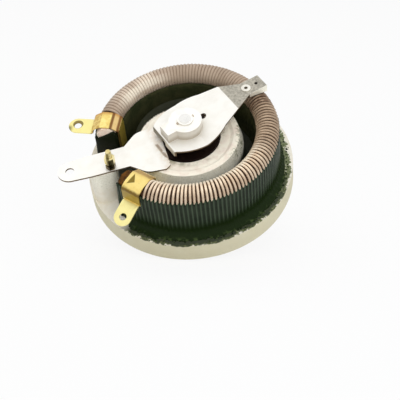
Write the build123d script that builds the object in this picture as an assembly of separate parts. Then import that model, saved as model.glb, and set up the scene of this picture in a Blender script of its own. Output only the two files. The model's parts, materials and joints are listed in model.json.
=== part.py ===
from build123d import *
import math
import os

# Open ceramic power rheostat, seen as it lies on its panel side with the winding up.
# Millimetres. The origin is the centre of the panel face, +Z points towards the winding,
# the shaft leaves towards -Z, and the terminals are on the -X side.

# Ceramic base: a disc with a hollowed panel face
base_height = 13.4
base_margin = 1.6
base_front_chamfer = 1.6
hollow_radius = 19.0
hollow_depth = 2.0
dimple_inset = 17.0
dimple_length = 12.0
dimple_width = 7.5
dimple_depth = 1.6

# Ceramic pedestal in the middle of the base: a ridge round a lower land, and a well for the collector
pedestal_rise = 22.2
ridge_radius = 24.3
ridge_width = 3.1
ridge_slope_width = 1.7
land_drop = 0.9
pedestal_shoulder_step = 1.8
pedestal_shoulder_drop = 6.6
pedestal_foot_step = 1.4
well_depth = 4.2
well_gap = 0.4
nest_gap = 1.4
nest_depth = 4.8

# Ceramic post that carries the middle terminal
post_inner_reach = 2.0
post_half_width = 7.2
post_corner = 5.0
post_edge = 0.8

# Winding core: a ceramic ring, open towards the terminals, its crest flattened on top
trench_width = 5.5
core_half_thickness = 4.9
crest_rise = 2.4
core_end_angle = 158.0

# Resistance wire
wire_size = 1.3
wire_seat_gap = 0.02
outer_glaze_rise = 1.6
inner_glaze_drop = 0.2
coarse_turn_pitch = 2.62
coarse_start_angle = -134.2
coarse_turns = 55
fine_band_end_angle = 140.6
fine_band_gap_angle = 0.8

# Vitreous enamel over the flanks of the winding
glaze_thickness = 1.2
glaze_end_angle = 1.3
rib_height = 0.45
glaze_foot_spread = 5.1
glaze_foot_height = 3.4
glaze_foot_shoulder = 1.1

# Brass end straps, bent round the core beyond the last turns, their legs outside the enamel
strap_clearance = 0.15
strap_thickness = 0.7
strap_crest_gap = 0.3
strap_half_width = 5.4
strap_inner_leg = 16.0
upper_strap_angle = 149.8
lower_strap_angle = 145.4
lug_half_width = 4.9
lug_hole_radius = 2.2
lug_bend_radius = 1.0
upper_lug_angle = 150.6
upper_lug_rise = 0.9
upper_lug_reach = 14.2
lower_lug_sink = 4.0
lower_lug_reach = 1.8
lower_lug_drop = 5.2
lower_lug_spread = 11.4

# Middle terminal plate, from the collector out over the post
plate_thickness = 1.0
plate_overlap = 3.7
plate_turn = -5.1
plate_inner_half_width = 13.0
plate_shoulder_step = 2.9
plate_shoulder_half_width = 15.0
plate_haunch_step = 1.4
plate_haunch_half_width = 14.0
plate_neck_gap = 2.7
strip_half_width = 7.0
strip_taper_inset = 1.0
lug_overhang = 8.9
plate_hole_radius = 2.3
plate_end_radius = 6.4
plate_corner = 1.6
haunch_corner = 8.0

# Screw on the middle terminal
stud_past_crest = 1.2
stud_y = 4.2
stud_radius = 1.5
stud_rise = 15.4
stud_depth = 9.6
stud_hole_gap = 0.1
stud_nut_across_flats = 4.6
stud_nut_height = 2.4
sleeve_across_flats = 4.8
sleeve_height = 4.6
sleeve_lift = 1.3
sleeve_chamfer = 0.5

# Collector ring in the well of the pedestal
collector_inset = 7.1
collector_bore = 8.6

# Bushing, panel hardware and shaft
bushing_radius = 4.76
bushing_hole_gap = 0.15
bushing_length = 12.7
bushing_flange_radius = 8.2
bushing_flange_height = 2.4
shaft_radius = 3.175
shaft_running_gap = 0.04
shaft_front_reach = 22.0
shaft_proud = 0.4
shaft_end_chamfer = 0.4
shaft_flat_depth = 0.8
shaft_flat_length = 9.5
shaft_slot_width = 1.2
shaft_slot_depth = 1.6
ring_groove_radius = 2.7
ring_thickness = 0.9
ring_outer_radius = 4.5
ring_mouth = 3.4
ring_play = 0.1
locator_thickness = 1.2
locator_half_length = 15.0
locator_half_width = 8.0
tab_width = 5.0
tab_reach = 4.6
tab_offset = 12.0
nut_across_flats = 14.3
nut_height = 2.6
nut_chamfer = 0.5
nut_place = 5.6
washer_radius = 8.6
washer_thickness = 0.9
washer_teeth = 16
washer_tooth_share = 0.12
thread_gap = 0.03

# Contacts: brush on the crest of the winding, button on the collector
contact_gap = 0.25
brush_thickness = 2.07
brush_half_width = 3.3
brush_inner_reach = 7.2
brush_outer_reach = 4.6
brush_sole_reach = 3.6
brush_sole_rise = 0.7
eyelet_reach = 4.6
eyelet_head_radius = 2.5
eyelet_head_height = 0.4
eyelet_radius = 1.6
eyelet_bore = 0.95
button_inset = 2.3
button_radius = 2.0
button_height = 1.85
leaf_thickness = 0.5
leaf_half_width = 3.0
leaf_overhang = 2.9
leaf_foot = 1.5
leaf_rise_run = 4.1
leaf_weld = 4.5
leaf_bend_radius = 0.8

# Rotor: porcelain hub and spring arm, at the position shown
rest_angle = 11.0
arm_slope = 0.26
arm_knee = 3.0
arm_thickness = 0.9
arm_bend_radius = 1.2
arm_tail = 13.8
arm_tail_drop = 3.5
arm_fold_reach = 16.2
arm_tip_overhang = 5.6
arm_tail_half_width = 9.6
arm_belly = -3.0
arm_belly_half_width = 15.9
arm_shoulder = 16.0
arm_shoulder_half_width = 13.2
arm_fold_half_width = 9.8
channel_reach = 5.2
channel_half_width = 4.6
channel_flange_start_drop = 1.4
channel_flange_end_drop = 3.4
tail_notch_half_width = 1.6
tail_notch_height = 2.2
keyhole_place = 10.6
keyhole_radius = 1.7
keyhole_slot_half_width = 0.8
tip_hole_past = 1.7
tip_hole_radius = 0.9

hub_radius = 8.6
hub_rise = 5.8
hub_tail = 12.8
hub_tail_half_width = 4.0
hub_collar_radius = 4.2
hub_collar_height = 0.9
hub_boss_radius = 6.8
hub_boss_lift = 0.8
hub_boss_gap = 0.05
pin_radius = 0.7
pin_proud = 0.8
pin_depth = 0.75

overrun = 1.0

# Heights worked out upwards from the panel face
pedestal_top = base_height + pedestal_rise
land_height = pedestal_top - land_drop
well_floor = pedestal_top - well_depth
nest_floor = base_height - nest_depth
plate_top = pedestal_top + plate_thickness
crest_centre_height = pedestal_top + crest_rise
outer_glaze_line = crest_centre_height + outer_glaze_rise
inner_glaze_line = crest_centre_height - inner_glaze_drop

# Radii worked out from the axis outwards
bushing_hole_radius = bushing_radius + bushing_hole_gap
nest_radius = bushing_flange_radius + nest_gap
land_radius = ridge_radius - ridge_slope_width
collector_radius = ridge_radius - collector_inset
well_radius = collector_radius + well_gap
pedestal_edge_radius = ridge_radius + ridge_width
pedestal_shoulder_radius = pedestal_edge_radius + pedestal_shoulder_step
pedestal_foot_radius = pedestal_shoulder_radius + pedestal_foot_step
wound_half_thickness = core_half_thickness + wire_size
glaze_half_thickness = core_half_thickness + glaze_thickness
core_centre_radius = pedestal_foot_radius + trench_width + glaze_half_thickness
glaze_foot_radius = core_centre_radius + glaze_half_thickness + glaze_foot_spread
base_radius = glaze_foot_radius + base_margin

# A straight strap on the curved enamel keeps clear of it at its corners too
strap_bow = strap_half_width ** 2 / (2 * (core_centre_radius - glaze_half_thickness))
strap_inner_half = glaze_half_thickness + strap_bow + strap_clearance
strap_outer_half = strap_inner_half + strap_thickness
strap_inner_rise = core_half_thickness + strap_crest_gap
strap_outer_rise = strap_inner_rise + strap_thickness
strap_inner_leg_end = crest_centre_height - strap_inner_leg

# Places of the middle terminal
plate_inner_x = collector_radius - plate_overlap
plate_shoulder_x = plate_inner_x + plate_shoulder_step
plate_haunch_x = ridge_radius + plate_haunch_step
plate_neck_x = core_centre_radius - glaze_half_thickness - plate_neck_gap
post_inner_x = core_centre_radius - post_inner_reach
strip_taper_x = base_radius - strip_taper_inset
plate_hole_x = base_radius + lug_overhang
stud_x = core_centre_radius + stud_past_crest
stud_foot = pedestal_top - stud_depth
stud_top = plate_top + stud_rise

# Places along the arm, and the heights stacked on the winding and on the collector
arm_fold = core_centre_radius - arm_fold_reach
channel_start = core_centre_radius - channel_reach
arm_tip = core_centre_radius + arm_tip_overhang
eyelet_place = core_centre_radius - eyelet_reach
tip_hole_place = core_centre_radius + tip_hole_past
brush_inner = core_centre_radius - brush_inner_reach
brush_outer = core_centre_radius + brush_outer_reach
brush_sole_start = core_centre_radius - brush_sole_reach
button_place = collector_bore + button_inset
brush_seat = crest_centre_height + wound_half_thickness + contact_gap + brush_sole_rise
arm_level = brush_seat + brush_thickness + arm_thickness
arm_flat_height = arm_level - arm_slope * (arm_fold - arm_knee)
leaf_foot_height = pedestal_top + contact_gap + button_height
hub_boss_bottom = pedestal_top + hub_boss_lift
hub_top = arm_flat_height + hub_rise
shaft_top = hub_top + hub_collar_height + shaft_proud


def lathe(points):
    """Full turn of a closed outline of (radius, height) points about the shaft axis."""
    return revolve(Plane.XZ * make_face(Polyline(*points, close=True)), Axis.Z)


def sector(face, first, last):
    """Part turn of a face drawn in the XZ plane, between two angles about the shaft axis."""
    return Rot(0, 0, first) * revolve(face, Axis.Z, last - first)


def prism(sketch, bottom, top):
    """Upright prism between two heights."""
    return extrude(Pos(0, 0, bottom) * sketch, top - bottom)


def tube(outer, inner, bottom, top):
    """Upright tube between two heights."""
    return prism(Circle(outer) - Circle(inner), bottom, top)


def polar(radius, angle):
    """Point in plan at a radius and an angle in degrees."""
    return (radius * math.cos(math.radians(angle)), radius * math.sin(math.radians(angle)))


def hexagon(across_flats):
    """Hexagon by its width across flats."""
    return RegularPolygon(across_flats / 2, 6, major_radius=False)


def bent_strip(path, bend_radius, thickness, half_width):
    """Strip of sheet, its upper face along a path in the XZ plane and its width along Y."""
    if len(path) > 2:
        top = FilletPolyline(*path, radius=bend_radius)
    else:
        top = Polyline(*path)
    section = make_face(offset(top, amount=thickness, side=Side.RIGHT).edges())
    return extrude(Plane.XZ * section, half_width, both=True)


def ceramic_base():
    """Disc, pedestal and terminal post moulded in one piece."""
    body = lathe([
        (bushing_hole_radius, hollow_depth),
        (hollow_radius, hollow_depth),
        (hollow_radius + hollow_depth, 0),
        (base_radius - base_front_chamfer, 0),
        (base_radius, base_front_chamfer),
        (base_radius, base_height),
        (pedestal_foot_radius, base_height),
        (pedestal_shoulder_radius, pedestal_top - pedestal_shoulder_drop),
        (pedestal_edge_radius, pedestal_top),
        (ridge_radius, pedestal_top),
        (land_radius, land_height),
        (well_radius, land_height),
        (well_radius, well_floor),
        (nest_radius, well_floor),
        (nest_radius, nest_floor),
        (bushing_hole_radius, nest_floor),
    ])
    length = base_radius - post_edge - post_inner_x
    block = Pos(-post_inner_x - length / 2, 0) * Rectangle(length, 2 * post_half_width)
    block = fillet(block.vertices(), post_corner)
    body += prism(block, base_height, pedestal_top)
    body -= Pos(-stud_x, -stud_y) * prism(Circle(stud_radius + stud_hole_gap), stud_foot, pedestal_top)
    dimple = SlotOverall(dimple_length, dimple_width, rotation=90)
    place = Pos(-hollow_radius - hollow_depth - dimple_inset, 0)
    return body - prism(place * dimple, 0, dimple_depth)


def crest_corners(half, rise):
    """Corners of the crest by its half-thickness and the rise of its flat top, from outside to inside."""
    flat = half * math.tan(math.pi / 8)
    corners = [(half, flat), (flat, rise), (-flat, rise), (-half, flat)]
    return [(core_centre_radius + across, crest_centre_height + up) for across, up in corners]


def crest_band(outer, inner, outer_end, inner_end):
    """Section of a layer over the crest between two (half, rise) pairs, its legs ending at given heights."""
    outline = [(core_centre_radius + outer[0], outer_end)]
    outline += crest_corners(*outer)
    outline += [(core_centre_radius - outer[0], inner_end), (core_centre_radius - inner[0], inner_end)]
    outline += reversed(crest_corners(*inner))
    outline += [(core_centre_radius + inner[0], outer_end)]
    return Plane.XZ * make_face(Polyline(*outline, close=True))


def winding_core():
    """Ceramic ring that carries the turns, open at the terminals."""
    flanks = [
        (core_centre_radius - core_half_thickness, base_height),
        (core_centre_radius + core_half_thickness, base_height),
    ]
    crest = crest_corners(core_half_thickness, core_half_thickness)
    outline = Polyline(*crest, *flanks, close=True)
    return sector(Plane.XZ * make_face(outline), -core_end_angle, core_end_angle)


def bare_section():
    """Section of the bare winding over the crest, from the outer to the inner glaze line."""
    seat = core_half_thickness + wire_seat_gap
    outside = (wound_half_thickness, wound_half_thickness)
    return crest_band(outside, (seat, seat), outer_glaze_line, inner_glaze_line)


def coarse_turns_set():
    """Single turns of heavy wire, spaced so that the core shows between them."""
    turn = extrude(bare_section(), wire_size / 2, both=True)
    angles = [coarse_start_angle + coarse_turn_pitch * i for i in range(coarse_turns)]
    return [Rot(0, 0, angle) * turn for angle in angles]


def fine_band():
    """Close-wound fine wire on the rest of the ring, one band at this scale."""
    last_turn = coarse_start_angle + coarse_turn_pitch * (coarse_turns - 1)
    first = last_turn + coarse_turn_pitch / 2 + fine_band_gap_angle
    return sector(bare_section(), first, fine_band_end_angle)


def ribbed_edge(valley):
    """Edge in plan with a rib over each turn of heavy wire."""
    points = [polar(valley, coarse_start_angle - coarse_turn_pitch / 2)]
    for i in range(coarse_turns):
        middle = coarse_start_angle + coarse_turn_pitch * i
        points.append(polar(valley + rib_height, middle))
        points.append(polar(valley, middle + coarse_turn_pitch / 2))
    return points


def enamel_jacket():
    """Glassy coat on both flanks of the winding, ribbed outside by the turns under it."""
    core_outer = core_centre_radius + core_half_thickness
    core_inner = core_centre_radius - core_half_thickness
    valley = core_centre_radius + glaze_half_thickness
    inside = core_centre_radius - glaze_half_thickness
    end = core_end_angle + glaze_end_angle
    foot_top = base_height + glaze_foot_height
    first = coarse_start_angle - coarse_turn_pitch / 2
    last = first + coarse_turn_pitch * coarse_turns

    def arc(radius, start, stop):
        return ThreePointArc(polar(radius, start), polar(radius, (start + stop) / 2), polar(radius, stop))

    lines = [
        Polyline(*ribbed_edge(valley)),
        arc(valley, last, end),
        Line(polar(valley, end), polar(core_outer, end)),
        arc(core_outer, end, -end),
        Line(polar(core_outer, -end), polar(valley, -end)),
        arc(valley, -end, first),
    ]
    outline = make_face([edge for line in lines for edge in line.edges()])
    jacket = prism(outline, foot_top, outer_glaze_line)

    foot = [
        (core_outer, base_height), (glaze_foot_radius, base_height),
        (valley + glaze_foot_shoulder, foot_top), (core_outer, foot_top),
    ]
    lining = [
        (inside, base_height), (core_inner, base_height),
        (core_inner, inner_glaze_line), (inside, inner_glaze_line),
    ]
    cap = [
        (inside, base_height), (core_outer, base_height),
        (core_outer, inner_glaze_line), (inside, inner_glaze_line),
    ]
    for points, start, stop in [
        (foot, -end, end), (lining, -core_end_angle, core_end_angle),
        (cap, -end, -core_end_angle), (cap, core_end_angle, end),
    ]:
        jacket += sector(Plane.XZ * make_face(Polyline(*points, close=True)), start, stop)
    return jacket


def end_strap(centre_angle, lug_angle, path):
    """Band round the core with a solder lug that follows a path in the XZ plane."""
    lug_bottom = path[0][1] - strap_thickness
    outside = (strap_outer_half, strap_outer_rise)
    inside = (strap_inner_half, strap_inner_rise)
    section = crest_band(outside, inside, lug_bottom, strap_inner_leg_end)
    band = Rot(0, 0, centre_angle) * extrude(section, strap_half_width, both=True)
    lug = bent_strip(path, lug_bend_radius, strap_thickness, lug_half_width)
    (x_before, z_before), (x_end, z_end) = path[-2:]
    run = math.hypot(x_end - x_before, z_end - z_before)
    along = ((x_end - x_before) / run, (z_end - z_before) / run)
    tip = Plane(
        origin=(x_end, 0, z_end), x_dir=(along[0], 0, along[1]), z_dir=(-along[1], 0, along[0])
    )
    back = Pos(-lug_half_width, 0)
    corner = Pos(-lug_half_width / 2, 0) * Rectangle(lug_half_width, 2 * lug_half_width)
    cut = corner - back * Circle(lug_half_width)
    cut += back * Circle(lug_hole_radius)
    lug -= extrude(tip * cut, strap_thickness + overrun, both=True)
    return band + Rot(0, 0, lug_angle) * lug


def upper_strap():
    """Strap whose lug stands straight out."""
    root = core_centre_radius + strap_inner_half
    level = crest_centre_height + upper_lug_rise
    return end_strap(upper_strap_angle, upper_lug_angle, [(root, level), (root + upper_lug_reach, level)])


def lower_strap():
    """Strap whose outer leg is longer, and its lug bent down."""
    root = core_centre_radius + strap_inner_half
    knee = root + lower_lug_reach
    level = crest_centre_height - lower_lug_sink
    return end_strap(-lower_strap_angle, -lower_strap_angle, [
        (root, level), (knee, level), (knee + lower_lug_spread, level - lower_lug_drop),
    ])


def middle_terminal():
    """Flat plate from the collector over the post to a lug outside the base, a little askew on the post."""
    half = [
        (-plate_inner_x, plate_inner_half_width),
        (-plate_shoulder_x, plate_shoulder_half_width),
        (-plate_haunch_x, plate_haunch_half_width),
        (-plate_neck_x, strip_half_width),
        (-strip_taper_x, strip_half_width),
        (-plate_hole_x, plate_end_radius),
    ]
    mirrored = [(x, -y) for x, y in reversed(half)]
    outline = make_face(Polyline(*half, *mirrored, close=True))
    haunches = [v for v in outline.vertices() if abs(v.X + plate_haunch_x) < plate_corner]
    outline = fillet(haunches, haunch_corner)
    corners = [v for v in outline.vertices() if v.X > -plate_inner_x - plate_corner]
    outline = fillet(corners, plate_corner)
    outline += Pos(-plate_hole_x, 0) * Circle(plate_end_radius)
    outline -= Pos(-plate_hole_x, 0) * Circle(plate_hole_radius)
    outline = Pos(-stud_x, 0) * Rot(0, 0, plate_turn) * Pos(stud_x, 0) * outline
    outline -= Pos(-stud_x, -stud_y) * Circle(stud_radius + stud_hole_gap)
    return prism(outline, pedestal_top, plate_top)


def terminal_stud():
    """Threaded rod of the middle terminal."""
    rod = prism(Circle(stud_radius), stud_foot, stud_top)
    return Pos(-stud_x, -stud_y) * chamfer(rod.edges().group_by(Axis.Z)[-1], stud_radius / 4)


def terminal_nut():
    """Nut that clamps the plate to the post."""
    nut = prism(hexagon(stud_nut_across_flats) - Circle(stud_radius), plate_top, plate_top + stud_nut_height)
    return Pos(-stud_x, -stud_y) * nut


def terminal_sleeve():
    """Tall nut above it, for the wire."""
    bottom = plate_top + stud_nut_height + sleeve_lift
    blank = prism(hexagon(sleeve_across_flats), bottom, bottom + sleeve_height)
    blank = chamfer(blank.edges().group_by(Axis.Z)[-1], sleeve_chamfer)
    return Pos(-stud_x, -stud_y) * (blank - prism(Circle(stud_radius), bottom, stud_top))


def collector_ring():
    """Slip ring in the well, level with the rim of the pedestal."""
    return tube(collector_radius, collector_bore, well_floor, pedestal_top)


def bushing():
    """Round bushing with a flange inside the base."""
    flange_top = nest_floor + bushing_flange_height
    bore = shaft_radius + shaft_running_gap
    return lathe([
        (bore, -bushing_length),
        (bushing_radius, -bushing_length),
        (bushing_radius, nest_floor),
        (bushing_flange_radius, nest_floor),
        (bushing_flange_radius, flange_top),
        (bore, flange_top),
    ])


def locating_plate():
    """Plate in the hollow of the base with a folded tab that enters the panel."""
    top = hollow_depth
    bottom = hollow_depth - locator_thickness
    outline = SlotOverall(2 * locator_half_length, 2 * locator_half_width)
    outline -= Circle(bushing_radius + thread_gap)
    plate = prism(outline, bottom, top)
    tab = Pos(tab_offset, 0) * Rectangle(2 * locator_thickness, tab_width)
    return plate + prism(tab, -tab_reach, bottom)


def mounting_nut():
    """Hexagon nut part way along the bushing."""
    top = -nut_place
    blank = prism(hexagon(nut_across_flats), top - nut_height, top)
    blank = chamfer(blank.edges().group_by(Axis.Z)[0], nut_chamfer)
    return blank - prism(Circle(bushing_radius + thread_gap), top - nut_height, top)


def lock_washer():
    """Toothed washer between the nut and the panel."""
    root = washer_radius * (1 - washer_tooth_share)
    points = []
    for i in range(washer_teeth):
        step = 360 / washer_teeth
        points.append(polar(root, step * i))
        points.append(polar(washer_radius, step * (i + 0.5)))
    outline = make_face(Polyline(*points, close=True)) - Circle(bushing_radius + thread_gap)
    return prism(outline, -nut_place, -nut_place + washer_thickness)


def shaft():
    """Round shaft with a flat and a screwdriver slot at the knob end."""
    front = -bushing_length - shaft_front_reach
    groove_top = -bushing_length - ring_play
    groove_bottom = groove_top - ring_thickness
    body = lathe([
        (0, front),
        (shaft_radius - shaft_end_chamfer, front),
        (shaft_radius, front + shaft_end_chamfer),
        (shaft_radius, groove_bottom),
        (ring_groove_radius, groove_bottom),
        (ring_groove_radius, groove_top),
        (shaft_radius, groove_top),
        (shaft_radius, shaft_top),
        (0, shaft_top),
    ])
    flat = Pos(shaft_flat_depth / 2 - shaft_radius, 0) * Rectangle(shaft_flat_depth, 2 * shaft_radius)
    body -= prism(flat, front, front + shaft_flat_length)
    slot = Rectangle(2 * shaft_radius, shaft_slot_width)
    body -= prism(slot, front, front + shaft_slot_depth)
    return body - pin_solid()


def retaining_ring():
    """Open ring in the groove of the shaft, against the end of the bushing."""
    top = -bushing_length - ring_play
    ring = Circle(ring_outer_radius) - Circle(ring_groove_radius)
    mouth = Pos(-ring_outer_radius / 2 - ring_groove_radius / 2, 0)
    ring -= mouth * Rectangle(ring_outer_radius, ring_mouth)
    return prism(ring, top - ring_thickness, top)


def pin_solid():
    """Round pin along the arm, through the collar of the hub and the shaft."""
    level = hub_top + hub_collar_height - pin_depth
    reach = hub_collar_radius + pin_proud
    axis = Plane(origin=(-reach, 0, level), z_dir=(1, 0, 0))
    return extrude(axis * Circle(pin_radius), 2 * reach)


def arm_height(place):
    """Height of the arm's upper face at a distance from the shaft axis."""
    return arm_flat_height + arm_slope * max(0, place - arm_knee)


def arm_underside(place):
    """Height of its lower face there, on the sloping part."""
    return arm_height(place) - arm_thickness * math.hypot(1, arm_slope)


def arm_plan():
    """Boat-shaped outline of the arm in plan, with its narrow tip."""
    sides = []
    for side in (-1, 1):
        belly = ThreePointArc(
            (-arm_tail - overrun, side * arm_tail_half_width),
            (arm_belly, side * arm_belly_half_width),
            (arm_shoulder, side * arm_shoulder_half_width),
        )
        tip = Polyline(
            (arm_shoulder, side * arm_shoulder_half_width),
            (arm_fold, side * arm_fold_half_width),
            (channel_start, side * channel_half_width),
            (arm_tip + overrun, side * channel_half_width),
        )
        sides += belly.edges() + tip.edges()
    tail_x, tip_x = -arm_tail - overrun, arm_tip + overrun
    sides += Line((tail_x, -arm_tail_half_width), (tail_x, arm_tail_half_width)).edges()
    sides += Line((tip_x, -channel_half_width), (tip_x, channel_half_width)).edges()
    return make_face(sides)


def channel_flange(side):
    """Side wall of the channel at the tip, deeper towards the end."""
    top = arm_level - arm_thickness
    wall = make_face(Polyline(
        (channel_start, top), (arm_tip, top), (arm_tip, top - channel_flange_end_drop),
        (channel_start, top - channel_flange_start_drop), close=True,
    ))
    middle = side * (channel_half_width - arm_thickness / 2)
    return Pos(0, middle, 0) * extrude(Plane.XZ * wall, arm_thickness / 2, both=True)


def contact_arm():
    """Spring arm cut from sheet: tail flange, flat seat for the hub, rise to a level tip with a channel."""
    bottom = arm_flat_height - arm_tail_drop
    strip = bent_strip([
        (-arm_tail, bottom), (-arm_tail, arm_flat_height), (arm_knee, arm_flat_height),
        (arm_fold, arm_level), (arm_tip, arm_level),
    ], arm_bend_radius, arm_thickness, arm_belly_half_width + overrun)
    arm = strip & prism(arm_plan(), bottom, arm_level + overrun)
    arm += channel_flange(-1)
    arm += channel_flange(1)
    cuts = Circle(hub_boss_radius + hub_boss_gap)
    cuts += Pos(keyhole_place, 0) * Circle(keyhole_radius)
    cuts += Pos(keyhole_place / 2, 0) * Rectangle(keyhole_place, 2 * keyhole_slot_half_width)
    cuts += Pos(eyelet_place, 0) * Circle(eyelet_radius)
    cuts += Pos(tip_hole_place, 0) * Circle(tip_hole_radius)
    arm -= prism(cuts, bottom, arm_level + overrun)
    notch = Pos(-arm_tail, 0) * Rectangle(2 * arm_thickness + overrun, 2 * tail_notch_half_width)
    return arm - prism(notch, bottom, bottom + tail_notch_height)


def below_arm(solid):
    """What of a solid lies below the arm's upper face."""
    reach = 2 * base_radius
    wedge = make_face(Polyline(
        (-reach, arm_flat_height), (arm_knee, arm_flat_height), (reach, arm_height(reach)),
        (reach, -reach), (-reach, -reach), close=True,
    ))
    return solid & extrude(Plane.XZ * wedge, reach, both=True)


def porcelain_hub():
    """Insulating hub: a block on the arm, round at the front, with a boss through the arm."""
    plan = Circle(hub_radius)
    plan += Pos(-hub_tail / 2, 0) * Rectangle(hub_tail, 2 * hub_tail_half_width)
    block = prism(plan, arm_flat_height - arm_thickness, hub_top)
    block -= below_arm(block)
    boss_top = hub_top + hub_collar_height
    hub = block + prism(Circle(hub_collar_radius), hub_top, boss_top)
    hub += prism(Circle(hub_boss_radius), hub_boss_bottom, hub_top)
    hub -= prism(Circle(shaft_radius), hub_boss_bottom, boss_top)
    return hub - pin_solid()


def brush_eyelet():
    """Tubular rivet through the arm and the brush."""
    ring = tube(eyelet_head_radius, eyelet_bore, arm_level, arm_level + eyelet_head_height)
    ring += tube(eyelet_radius, eyelet_bore, brush_seat, arm_level)
    return Pos(eyelet_place, 0) * ring


def contact_brush():
    """Brush under the channel, its sole hollowed to the crest of the winding."""
    top = arm_level - arm_thickness
    shank = Pos((brush_inner + brush_outer) / 2, 0)
    block = prism(shank * Rectangle(brush_outer - brush_inner, 2 * brush_half_width), brush_seat, top)
    sole = Pos((brush_sole_start + brush_outer) / 2, 0)
    lowest = crest_centre_height + wound_half_thickness / 2
    block += prism(sole * Rectangle(brush_outer - brush_sole_start, 2 * brush_half_width), lowest, brush_seat)
    hollow_half = wound_half_thickness + contact_gap
    crest = crest_corners(hollow_half, hollow_half)
    foot = [(crest[-1][0], lowest), (crest[0][0], lowest)]
    hollow = make_face(Polyline(*crest, *foot, close=True))
    block -= extrude(Plane.XZ * hollow, brush_half_width, both=True)
    return block - Pos(eyelet_place, 0) * prism(Circle(eyelet_radius), brush_seat, top)


def centre_leaf():
    """Leaf spring welded under the arm, that presses the centre button on the collector."""
    end, foot_knee = button_place - leaf_overhang, button_place + leaf_foot
    knee = foot_knee + leaf_rise_run
    root = knee + leaf_weld
    return bent_strip([
        (end, leaf_foot_height + leaf_thickness),
        (foot_knee, leaf_foot_height + leaf_thickness),
        (knee, arm_underside(knee)),
        (root, arm_underside(root)),
    ], leaf_bend_radius, leaf_thickness, leaf_half_width)


def centre_button():
    """Contact button under the leaf, on the collector."""
    button = prism(Circle(button_radius), pedestal_top + contact_gap, leaf_foot_height)
    return Pos(button_place, 0) * button


turned = Rot(0, 0, rest_angle)

nodes = {
    "ceramic_base": ceramic_base(),
    "winding_core": winding_core(),
    "winding_coarse": coarse_turns_set(),
    "winding_fine": fine_band(),
    "enamel_jacket": enamel_jacket(),
    "end_strap_upper": upper_strap(),
    "end_strap_lower": lower_strap(),
    "middle_terminal": middle_terminal(),
    "terminal_stud": terminal_stud(),
    "terminal_nut": terminal_nut(),
    "terminal_sleeve": terminal_sleeve(),
    "collector_ring": collector_ring(),
    "bushing": bushing(),
    "locating_plate": locating_plate(),
    "mounting_nut": mounting_nut(),
    "lock_washer": lock_washer(),
    "shaft": turned * shaft(),
    "retaining_ring": turned * retaining_ring(),
    "cross_pin": turned * pin_solid(),
    "porcelain_hub": turned * porcelain_hub(),
    "contact_arm": turned * contact_arm(),
    "brush_eyelet": turned * brush_eyelet(),
    "contact_brush": turned * contact_brush(),
    "centre_leaf": turned * centre_leaf(),
    "centre_button": turned * centre_button(),
}

os.makedirs("parts", exist_ok=True)
for name, shape in nodes.items():
    solids = shape if isinstance(shape, list) else shape.solids()
    export_step(solids[0] if len(solids) == 1 else Compound(solids), f"parts/{name}.step")
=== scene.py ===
import json
import math
import random

import bmesh
import bpy
from mathutils import Matrix, Vector, noise


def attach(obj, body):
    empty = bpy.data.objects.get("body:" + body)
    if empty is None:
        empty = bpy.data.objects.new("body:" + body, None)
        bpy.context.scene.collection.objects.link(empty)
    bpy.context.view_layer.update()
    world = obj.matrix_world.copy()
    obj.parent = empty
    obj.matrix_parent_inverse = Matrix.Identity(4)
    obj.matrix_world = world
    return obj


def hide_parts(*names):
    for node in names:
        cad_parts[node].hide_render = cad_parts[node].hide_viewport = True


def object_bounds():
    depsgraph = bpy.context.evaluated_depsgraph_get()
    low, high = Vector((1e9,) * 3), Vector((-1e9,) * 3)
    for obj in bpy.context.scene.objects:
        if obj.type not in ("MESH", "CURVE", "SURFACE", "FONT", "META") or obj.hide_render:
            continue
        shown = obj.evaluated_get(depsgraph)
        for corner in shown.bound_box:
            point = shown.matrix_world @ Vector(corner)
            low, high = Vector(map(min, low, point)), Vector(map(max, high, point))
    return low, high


# Dressing of an open ceramic power rheostat. Sizes are in millimetres and angles in degrees about the
# shaft axis; MM turns them into Blender's metres.

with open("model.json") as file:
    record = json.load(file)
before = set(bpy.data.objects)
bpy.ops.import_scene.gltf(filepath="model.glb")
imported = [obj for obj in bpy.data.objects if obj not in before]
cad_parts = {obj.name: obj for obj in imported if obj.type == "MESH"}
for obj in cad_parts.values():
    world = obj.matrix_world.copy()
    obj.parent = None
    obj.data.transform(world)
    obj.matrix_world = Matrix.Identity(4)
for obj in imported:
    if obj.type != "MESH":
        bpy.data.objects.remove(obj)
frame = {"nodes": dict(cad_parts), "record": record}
cad_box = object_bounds()

MM = 0.001

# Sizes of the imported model
base_radius = cad_box[1][0] / MM
shaft_end_height = cad_box[0][2] / MM
base_height = 13.4
pedestal_top = base_height + 22.2
crown_edge = 27.4
well_edge = 18.0
core_centre = 42.2
core_half = 4.9
core_end = 158.0
crest_level = pedestal_top + 2.4
outer_glaze_line = crest_level + 1.6
inner_glaze_line = crest_level - 0.2
coat_half = core_half + 1.2
coat_end = core_end + 1.3
foot_radius = base_radius - 1.6
foot_height = 3.4
rib_height = 0.45
bushing_radius = 4.76
bushing_length = 12.7
bushing_bore = 3.2
flange_radius, flange_low, flange_high = 8.2, 8.6, 11.0
rest_angle = 11.0
arm_flat = 42.1

# Threads, and the screw of the middle terminal
bushing_pitch, bushing_groove = 0.79, 0.42
stud_x, stud_y, stud_radius = -43.4, -4.2, 1.5
stud_foot, stud_head, stud_round = 26.0, 49.3, 0.5
stud_pitch, stud_groove = 0.7, 0.22

# Heavy winding, with one more turn than the model, against the lower strap
wire_radius = 0.65
coarse_pitch = 2.62
coarse_first = -136.82
coarse_turns = 56
coarse_last = coarse_first + coarse_pitch * (coarse_turns - 1)
coarse_leans = (4.0, 184.0)

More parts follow.
